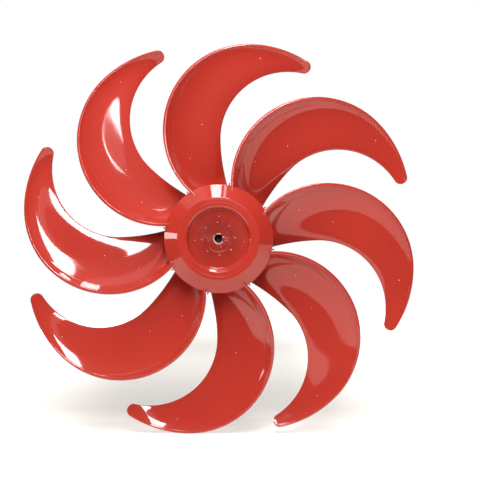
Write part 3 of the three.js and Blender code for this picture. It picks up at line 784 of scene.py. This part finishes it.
class Station:
    """The blade's section at s, which runs from 0 at the root to 1 at the tip."""

    def __init__(self, s):
        run = max(s, 0.0)   # the sections beside the root are asked for a little before it
        self.front = edge_point(FRONT_ARCS, FRONT_ARCS[-1]["end"], s)
        self.rear = edge_point(REAR_ARCS, REAR_ARCS[-1]["end"] - 180, s)
        formed = 1 - math.exp(-run / ROOT_BLEND)   # grows from 0 to 1 close to the root
        ending = max(1 - run ** 4, 0)              # falls from 1 to 0 towards the tip
        self.front_y = mix(FRONT_ROOT_Y, FRONT_TIP_Y, 1 - (1 - min(run, 1)) ** FRONT_SWEEP)
        self.rear_y = mix(REAR_ROOT_Y, REAR_TIP_Y, REAR_SWEEP * run - (REAR_SWEEP - 1) * run ** 5)
        self.bow = (DISH_ROOT * math.exp(-run / DISH_FADE) + DISH_TIP) * ending * mix(ROOT_SHARE, 1, formed)
        self.lean = DISH_LEAN * (1 - run) * formed
        self.warp = (WARP[0] + WARP[1] * run + WARP[2] * run ** 2) * ending * formed
        across = self.front - self.rear
        self.half = min(mix(BLADE_T_ROOT, BLADE_T_TIP, run), across.length) / 2
        inset = across.normalized() * self.half * EDGE_INSET * smooth_step(run / INSET_START)
        self.front, self.rear = self.front - inset, self.rear + inset
        self.width = (self.front - self.rear).length
        self.pitch = (self.front_y - self.rear_y) * self.width / max(across.length, TIP_WIDTH)
        self.lip = smooth_step(run / LIP_RISE) * (1 - smooth_step((run - LIP_FADE_START) / LIP_FADE))
        self.lip_end = mix(BEAD_W + LIP_MIN, LIP_W, self.lip)
        self.fold = FOLD_W * max(1 - run / FOLD_END, 0) * smooth_step((run - FOLD_START) / FOLD_RISE)

    def middle(self, v):
        """The middle surface: v from 0 at the rear edge to 1 at the front edge."""
        flat = self.rear.lerp(self.front, v)
        fold = max(self.fold - v * self.width, 0)
        bend = FOLD_SLOPE * (math.sqrt(fold * fold + 1) - 1) if fold else 0
        dish = 4 * v * (1 - v) * (self.bow + 2 * self.lean * (1 - 2 * v))
        warp = self.warp * math.exp(-v * self.width / WARP_REACH)
        y = (self.front_y + self.rear_y) / 2 + (v - 0.5) * self.pitch + dish + warp + bend
        return Vector((flat.x, y, flat.y))

    def relief(self, inset):
        """How far the face stands out at a distance from the front edge."""
        share = min(self.width / FULL_RELIEF_W, 1)
        bead = BEAD_H * math.sqrt(max(math.sin(math.pi * min(inset / BEAD_W, 1)), 0)) * share
        lip = LIP_H * self.lip * smooth_step((self.lip_end - inset) / LIP_EDGE)
        groove = GROOVE_H * self.lip * math.exp(-((inset - self.lip_end - GROOVE_OFF) / GROOVE_W) ** 2)
        return bead + lip - groove


def station_and_normal(s):
    """The section at s, and a function from v to its unit normal, which points to the rotor's front.

    Round the tip the normals are those of the last section before it.
    """
    step = 1e-3
    flat = min(s, 1 - TIP_SHARE - 2 * step)
    level, before, after = Station(flat), Station(flat - step), Station(flat + step)

    def normal(v):
        across = level.middle(v + step) - level.middle(v - step)
        along = after.middle(v) - before.middle(v)
        found = across.cross(along).normalized()
        return -found if found.y > 0 else found
    return Station(s), normal


def face_insets(station):
    """Distances from the front edge at which the face has points: fine at the bead and the groove."""
    groove = station.lip_end + GROOVE_OFF
    fine_end = groove + GROOVE_SIDE
    fine = [0, 0.15, 0.4, 0.8, 1.2, 1.6, 2.0, 2.25, BEAD_W, 2.7]
    fine += [groove + d for d in (-GROOVE_SIDE, -0.7, -0.35, 0, 0.35, 0.7, GROOVE_SIDE)]
    room = station.width
    if room < fine_end * FINE_ROOM:
        fine = [spot * room / fine_end / FINE_ROOM / 2 for spot in fine]
    return fine + [mix(fine[-1], room, k / FACE_STEPS) for k in range(1, FACE_STEPS + 1)]


def blade_section(s):
    """One closed loop of points round the blade at s."""
    station, normal = station_and_normal(s)
    half = station.half
    loop = []
    for inset in reversed(face_insets(station)):
        v = min(max(1 - inset / station.width, 0), 1)
        loop.append(station.middle(v) + normal(v) * (half + station.relief(inset)))
    loop += edge_round(station, normal(1), 1, half, 1)
    for k in range(BACK_STEPS, -1, -1):
        v = k / BACK_STEPS
        loop.append(station.middle(v) - normal(v) * half)
    loop += edge_round(station, normal(0), 0, half, -1)
    return loop


def edge_round(station, normal, v, radius, way):
    """The half circle that closes a section at an edge, without its two ends."""
    centre = station.middle(v)
    out = (station.middle(1) - station.middle(0)).normalized() * way
    points = []
    for k in range(1, EDGE_STEPS):
        turn = math.pi * k / EDGE_STEPS
        points.append(centre + normal * way * radius * math.cos(turn) + out * radius * math.sin(turn))
    return points


def blade_mesh():
    """The first blade with its pips, and the number of points before the pips."""
    stations = [i / BLADE_ROWS * (1 - TIP_SHARE) for i in range(BLADE_ROWS)]
    stations += [1 - TIP_SHARE * (1 - math.sin(math.pi / 2 * k / TIP_ROWS)) for k in range(TIP_ROWS)]
    stations.append(LAST_STATION)
    loops = [blade_section(s) for s in stations]
    count = len(loops[0])
    vertices = [point for loop in loops for point in loop]
    faces = []
    for i in range(len(loops) - 1):
        for j in range(count):
            a, b = i * count + j, i * count + (j + 1) % count
            faces.append((a, b, b + count, a + count))
    faces.append(tuple(range(count)))
    faces.append(tuple(range((len(loops) - 1) * count, len(loops) * count)))
    pips = []
    for s, v in BLADE_PIPS:
        station, normal = station_and_normal(s)
        foot = station.middle(v) + normal(v) * station.half * PIP_SEAT
        pips.append(dome(foot, normal(v), **BLADE_PIP))
    return *merge([(vertices, faces), *pips]), len(vertices)


def make_blades():
    vertices, faces, body_size = blade_mesh()
    # the blade's pips are marked pale: a painted highlight
    shape = smooth_mesh("blade", vertices, faces, sharp=50, pale_from=body_size)
    for k in range(BLADES):
        mesh = shape.copy()
        mesh.transform(Matrix.Rotation(2 * math.pi * k / BLADES, 4, "Y"))
        add_piece(f"moulded_blade_{k + 1}", mesh, "rotor", "blade_plastic", f"blade_{k + 1}")
    bpy.data.meshes.remove(shape)


# ---------- hub ----------

# The land round the recess has shallow steps: how far in or out each lies, and how far back.
OUTER_STEPS = ((0, 0.3), (-2.6, 0.2), (-3.9, 0.36))    # inwards from the land's outer edge
INNER_STEPS = ((4.6, 0.33), (2.2, 0.4), (0.4, 1.2))    # outwards from the recess
RECESS_SLOPE = 1.5     # how much narrower the recess is at its floor
EYE_SLOPE = 0.9
BORE_CHAMFER_W = 1.7
BORE_CHAMFER_DEPTH = 1.4
# Fillet radii by the number of the corner in the hub's profile, which starts at the back of the rim.
HUB_ROUNDS = {0: 0.5, 1: 1.2, 2: 0.8, 3: 0.6, 4: 0.8, 5: 1.0, 6: 1.4, 7: 0.5, 8: 0.7, 9: 0.4, 10: 0.5,
              11: 0.6, 12: 0.6, 20: 0.5}

PIPS = 8               # round the eye
PIP_CIRCLE = 16.6
PIP_START = 3.4
PIP_R = 0.55
PIP_RISE = 0.9         # height of a pip, as a share of its radius
STRAY_PIPS = ((22.4, 89), (25.3, -7), (31.6, -2), (8.4, -74), (23.6, -176))   # (radius, degrees)
STRAY_PIP_R = 0.4
EDGE_DEPTH = 0.8       # of the recess's rounded edge, where one stray pip sits
GLINT_SPECKS = (20, 75, 100, 150, 185, 208, 232, 255, 285, 315)   # specks on the bore's chamfer, pale as a painted highlight
SPECK_CIRCLE = BORE_R + 0.7
SPECK_Y = EYE_FLOOR + 0.6
SPECK_R = 0.85
SPECK_H = 0.3
NIB_ANGLE = 123.8      # mould nib beside the first blade's front edge
NIB_W = 1.3
NIB_OUT = 2.2
NIB_ROOT = 1           # how deep it sits in the hub
NIB_FRONT, NIB_BACK = HUB_RIM + 0.8, HUB_RIM + 4


def hub_mesh():
    """The hub turned as one profile, outside first, with the bore's flat cut for the D.

    The inside, which the back plate hides, is plainer than the outside.
    """
    inner = EYE_FLOOR + HUB_WALL
    land_back = LAND_FRONT + HUB_WALL + 1
    profile = [(HUB_R, HUB_BACK), (HUB_R, HUB_RIM)]
    profile += [(LAND_R + out, LAND_FRONT + down) for out, down in OUTER_STEPS]
    profile += [(RECESS_R + out, LAND_FRONT + down) for out, down in INNER_STEPS]
    profile += [
        (RECESS_R - RECESS_SLOPE, HUB_FLOOR), (EYE_R + EYE_SLOPE, HUB_FLOOR), (EYE_R, EYE_FLOOR),
        (BORE_R + BORE_CHAMFER_W, EYE_FLOOR), (BORE_R, EYE_FLOOR + BORE_CHAMFER_DEPTH), (BORE_R, BOSS_BACK),
        (BOSS_R, BOSS_BACK), (BOSS_R, inner), (RECESS_R + 2, inner), (RECESS_R + 4, land_back),
        (LAND_R - 2, land_back), (HUB_R - HUB_WALL, HUB_RIM + 1.6), (HUB_R - HUB_WALL, HUB_BACK),
    ]
    vertices, faces = lathe(fillet(profile, HUB_ROUNDS), FINE)
    flat = SHAFT_FLAT + GAP
    in_bore = BORE_R + 0.01
    vertices = [(min(x, flat) if math.hypot(x, z) < in_bore else x, y, z) for x, y, z in vertices]
    return vertices, faces


def front_dome(radius, degrees, y, size, height):
    """A pip that faces the front, at a radius and an angle round the hub."""
    angle = math.radians(degrees)
    return dome((radius * math.cos(angle), y, radius * math.sin(angle)), (0, -1, 0), size, height)


def hub_pip(radius, degrees, size):
    if radius > RECESS_R:
        floor = LAND_FRONT + EDGE_DEPTH
    else:
        floor = EYE_FLOOR if radius < EYE_R else HUB_FLOOR
    return front_dome(radius, degrees, floor, size, size * PIP_RISE)


def nib(k):
    """A small mould nib that stands out of the hub's rim beside blade k's front edge."""
    angle = math.radians(NIB_ANGLE - 360 / BLADES * k)
    root, end, half = HUB_R - NIB_ROOT, HUB_R + NIB_OUT, NIB_W / 2
    block = plate([(root, -half), (end, -half), (end, half), (root, half)], NIB_FRONT, NIB_BACK, 0.25)
    return moved(block, Matrix.Rotation(-angle, 4, "Y"))


def make_hub():
    pips = [hub_pip(PIP_CIRCLE, PIP_START + 360 / PIPS * k, PIP_R) for k in range(PIPS)]
    pips += [hub_pip(radius, angle, STRAY_PIP_R) for radius, angle in STRAY_PIPS]
    pips += [front_dome(SPECK_CIRCLE, angle, SPECK_Y, SPECK_R, SPECK_H) for angle in GLINT_SPECKS]
    body = merge([hub_mesh(), *[nib(k) for k in range(BLADES)]])
    # the pips and the chamfer specks are marked pale: painted highlights
    hub = smooth_mesh("moulded_hub", *merge([body, *pips]), sharp=40, pale_from=len(body[0]))
    add_piece("moulded_hub", hub, "rotor", "hub_plastic", "hub_shell", "hub_centre")


# ---------- pieces behind the hub ----------

def around(count, radius, start=0.0):
    """Points (x, z) at equal angles round the Y axis, from an angle in degrees."""
    angles = [math.radians(start + 360 * k / count) for k in range(count)]
    return [(radius * math.cos(a), radius * math.sin(a)) for a in angles]


def screw_places(radius):
    return around(4, radius, 45)


def make_back_plate():
    """The disc with its screw holes, a collar round its eye and a low ridge on its back."""
    eye = COLLAR_R + 1
    bevel = 0.4
    r = SCREW_HOLE_R
    screw = [(r + bevel, PLATE_BACK), (r, PLATE_BACK - bevel), (r, PLATE_FRONT)]
    holes = [(x, z, screw, STEM_SIDES) for x, z in screw_places(POST_CIRCLE)]
    holes.append((0, 0, [(eye + 0.6, PLATE_BACK), (eye, PLATE_BACK - 0.6), (eye, PLATE_FRONT)], SMALL_ROUND))
    disc = plate(circle(HUB_R - HUB_WALL - GAP, ROUND), PLATE_FRONT, PLATE_BACK, 0.5, holes)
    collar_front, collar_back = PLATE_FRONT - 2.4, PLATE_FRONT + 0.2
    collar = [(eye, collar_front), (eye + 2, collar_front), (eye + 2.6, collar_back), (eye, collar_back)]
    ridge_foot, ridge_top = PLATE_BACK - 0.2, PLATE_BACK + 0.1
    ridge = [(RIDGE_R - 1, ridge_foot), (RIDGE_R - 0.6, ridge_top), (RIDGE_R + 0.6, ridge_top),
             (RIDGE_R + 1, ridge_foot)]
    collar_shape = lathe(fillet(collar, {1: 0.4}), SMALL_ROUND)
    ridge_shape = lathe(fillet(ridge, {1: 0.15, 2: 0.15}), ROUND)
    mesh = smooth_mesh("moulded_back_plate", *merge([disc, collar_shape, ridge_shape]), sharp=30)
    add_piece("moulded_back_plate", mesh, "rotor", "hub_plastic", "hub_back_plate")


def socket_screw(r, y, height, socket, depth, shank, front):
    """A socket screw along Y: its head rises backwards from y, and its shank ends at front.

    The hexagon has a bevelled mouth and a sunken floor, and the shank starts inside the head.
    """
    top = y + height
    bottom = top - depth
    hexagon = [(socket * 1.12, top), (socket, top - 0.15), (socket, bottom), (socket * 0.4, bottom - 0.2)]
    head = plate(circle(r, HEAD_SIDES), y, top, 0.45, [(0, 0, hexagon, 6)])
    core, into_head = 0.01, y + 0.1
    stem = [(core, front), (shank, front), (shank, into_head), (core, into_head)]
    return merge([head, lathe(fillet(stem, {1: 0.3}), STEM_SIDES)])


def make_screws():
    for i, (x, z) in enumerate(screw_places(POST_CIRCLE), 1):
        shape = moved(socket_screw(**BACK_SCREW), Matrix.Translation((x, 0, z)))
        mesh = smooth_mesh(f"back_screw_{i}", *shape, sharp=30)
        add_piece(f"back_screw_{i}", mesh, "rotor", "bright_steel", f"hub_back_screw_{i}")
    for i, (x, z) in enumerate(screw_places(BOLT_CIRCLE), 1):
        shape = moved(socket_screw(**BOLT), Matrix.Translation((x, 0, z)))
        mesh = smooth_mesh(f"cover_bolt_{i}", *shape, sharp=30)
        add_piece(f"cover_bolt_{i}", mesh, "generator", "dark_steel", f"housing_bolt_{i}")


def make_shaft():
    """The shaft, whose front end is cut to a D. The cut ends in a short step."""
    step = 0.05
    profile = [(step, SHAFT_FRONT), (SHAFT_R, SHAFT_FRONT), (SHAFT_R, D_END), (SHAFT_R, D_END + step),
               (SHAFT_R, SHAFT_REAR), (step, SHAFT_REAR)]
    vertices, faces = lathe(fillet(profile, {1: 1.0, 4: 0.6}, 3), SMALL_ROUND)
    cut = [(min(x, SHAFT_FLAT) if y < D_END + step / 2 else x, y, z) for x, y, z in vertices]
    shaft = smooth_mesh("turned_shaft", cut, faces, sharp=30)
    add_piece("turned_shaft", shaft, "rotor", "dark_steel", "rotor_shaft")


def make_collar():
    inner = BOSS_R + GAP
    ring = [(inner, COLLAR_FRONT), (COLLAR_R, COLLAR_FRONT), (COLLAR_R, COLLAR_BACK), (inner, COLLAR_BACK)]
    shape = lathe(fillet(ring, {0: 0.4, 1: 0.8, 2: 0.8, 3: 0.4}), COLLAR_SIDES)
    mesh = smooth_mesh("clamp_collar", *shape, sharp=30)
    add_piece("clamp_collar", mesh, "rotor", "cast_aluminium", "shaft_collar")


def flange_outline():
    """The round cover with its four bolt lugs, blended by small fillets."""
    outline = []
    for k in range(2 * FINE):
        angle = math.pi * k / FINE
        off = (angle % (math.pi / 2)) - math.pi / 4
        side = BOLT_CIRCLE * math.sin(off)
        lug = 0
        if abs(side) < LUG_R:
            lug = BOLT_CIRCLE * math.cos(off) + math.sqrt(LUG_R ** 2 - side ** 2)
        radius = max(GEN_R, lug)
        if lug < GEN_R + 2:
            radius += LUG_BLEND * (1 - smooth_step(abs(abs(side) - LUG_R) / LUG_REACH))
        outline.append((radius * math.cos(angle), radius * math.sin(angle)))
    return outline


def make_front_cover():
    edge = 0.5
    seal = [(POCKET_R, COVER_BACK), (POCKET_R, FRONT_POCKET), (SEAL_HOLE_R, FRONT_POCKET),
            (SEAL_HOLE_R, COVER_FRONT + edge), (SEAL_HOLE_R + edge, COVER_FRONT)]
    shape = plate(flange_outline(), COVER_FRONT, COVER_BACK, COVER_ROUND, [(0, 0, seal, SMALL_ROUND)])
    mesh = smooth_mesh("cast_front_cover", *shape, sharp=25)
    add_piece("cast_front_cover", mesh, "generator", "cast_aluminium", "front_cover")


def make_rear_cover():
    def sunk(radius, depth, bevel):
        return [(radius + bevel, 0), (radius, -bevel), (radius, -depth)]

    seat = [*sunk(SEAT_R, SEAT_DEPTH, 0.3), (SCREW_HOLE_R, -SEAT_DEPTH), (SCREW_HOLE_R, REAR_FRONT)]
    mount = [*sunk(MOUNT_HOLE_R, MOUNT_HOLE_DEPTH, 0.4), (0.4, -MOUNT_HOLE_DEPTH - 0.8)]
    holes = [(x, z, seat, HOLE_SIDES) for x, z in screw_places(BOLT_CIRCLE)]
    holes += [(x, z, mount, HOLE_SIDES) for x, z in around(4, MOUNT_CIRCLE)]
    holes.append((0, 0, [(POCKET_R, 0), (POCKET_R, REAR_FRONT)], SMALL_ROUND))
    rim = plate(flange_outline(), REAR_FRONT, 0, COVER_ROUND, holes)
    core = 0.05
    end = [(core, REAR_POCKET), (POCKET_R, REAR_POCKET), (POCKET_R, REAR_END), (core, REAR_END)]
    mesh = smooth_mesh("cast_rear_cover", *merge([rim, lathe(end, SMALL_ROUND)]), sharp=25)
    add_piece("cast_rear_cover", mesh, "generator", "cast_aluminium", "rear_cover")


def fin():
    """One cooling fin, from its foot in the tube to its thin, rounded tip."""
    left = [(x, -half) for x, half in FIN_SIDE]
    right = [(x, half) for x, half in reversed(FIN_SIDE)]
    return plate([*left, (FIN_R, 0), *right], HOUSING_FRONT + FIN_MARGIN, HOUSING_BACK - FIN_MARGIN, 0.3)


def make_housing():
    """A tube with fins all round except at the square pad for the lead, and with a post for each bolt."""
    inner = GEN_R - GEN_WALL
    tube = [(inner, HOUSING_FRONT), (GEN_R, HOUSING_FRONT), (GEN_R, HOUSING_BACK), (inner, HOUSING_BACK)]
    parts = [lathe(fillet(tube, {1: 0.5, 2: 0.5}), FINE)]
    for i in range(FINS):
        angle = 360 / FINS * (i + 0.5)
        if abs(angle - PORT_ANGLE) > PORT_CLEAR:
            parts.append(moved(fin(), Matrix.Rotation(-math.radians(angle), 4, "Y")))
    for x, z in screw_places(BOLT_CIRCLE):
        parts.append(plate(circle(LUG_R, POST_SIDES, x, z), HOUSING_FRONT, HOUSING_BACK, 0.5))
    half = PORT_W / 2
    corners = [(-half, PORT_Y - half), (half, PORT_Y - half), (half, PORT_Y + half), (-half, PORT_Y + half)]
    pad = plate(fillet(corners, dict.fromkeys(range(4), 2)), GEN_R - 3, PORT_END, 0.8)
    parts.append(moved(pad, DOWNWARD))
    mesh = smooth_mesh("finned_housing", *merge(parts), sharp=25)
    add_piece("finned_housing", mesh, "generator", "cast_aluminium", "stator_housing")


def make_gland():
    """A hexagonal foot and a domed, grooved cap with the hole for the lead."""
    start = PORT_END + GAP
    foot_end = start + GLAND_FOOT_H
    cap_start, shoulder, cap_end = foot_end - 0.5, foot_end + 2.2, foot_end + 4.5
    foot = plate(circle(GLAND_FOOT_R, 6, 0, PORT_Y, math.radians(30)), start, foot_end, 0.5)
    rim = [(LEAD_R, cap_start), (GLAND_CAP_R, cap_start), (GLAND_CAP_R, shoulder), (GLAND_MOUTH_R, cap_end),
           (LEAD_R, cap_end)]
    to_port = Matrix.Translation((0, 0, PORT_Y))
    cap = moved(lathe(fillet(rim, {1: 0.2, 2: 1.6, 3: 0.9, 4: 0.4}), SMALL_ROUND), to_port)
    inside, outside = GLAND_CAP_R - 0.2, GLAND_CAP_R + 0.25
    section = [(inside, -0.28), (outside, -0.12), (outside, 0.12), (inside, 0.28)]
    rib = plate(section, foot_end + 0.1, shoulder - 0.2, 0.1)
    turns = [2 * math.pi * k / GLAND_RIBS for k in range(GLAND_RIBS)]
    ribs = [moved(rib, to_port @ Matrix.Rotation(turn, 4, "Y")) for turn in turns]
    body = [moved(part, DOWNWARD) for part in (foot, cap, *ribs)]
    mesh = smooth_mesh("lead_outlet_gland", *merge(body), sharp=30)
    add_piece("lead_outlet_gland", mesh, "generator", "gland_plastic", "lead_gland")


# ---------- CAD nodes that stay ----------

def dress_frame():
    """Gives every CAD node the material of its slot."""
    slots = {part["node"]: part["material_slot"] for part in frame["record"]["subparts"]}
    for name, node in frame["nodes"].items():
        material = MATERIALS[slots[name]]
        if not node.material_slots:
            node.data.materials.append(material)
        for entry in node.material_slots:
            entry.link = "OBJECT"
            entry.material = material


# ---------- making ----------

bpy.context.scene.view_settings.view_transform = "Standard"
MATERIALS = make_materials()
add_camera()
add_world()
add_floor(cad_box[0].z - FLOOR_DROP)
add_lights()
dress_frame()
make_blades()
make_hub()
make_back_plate()
make_screws()
make_shaft()
make_collar()
make_front_cover()
make_rear_cover()
make_housing()
make_gland()
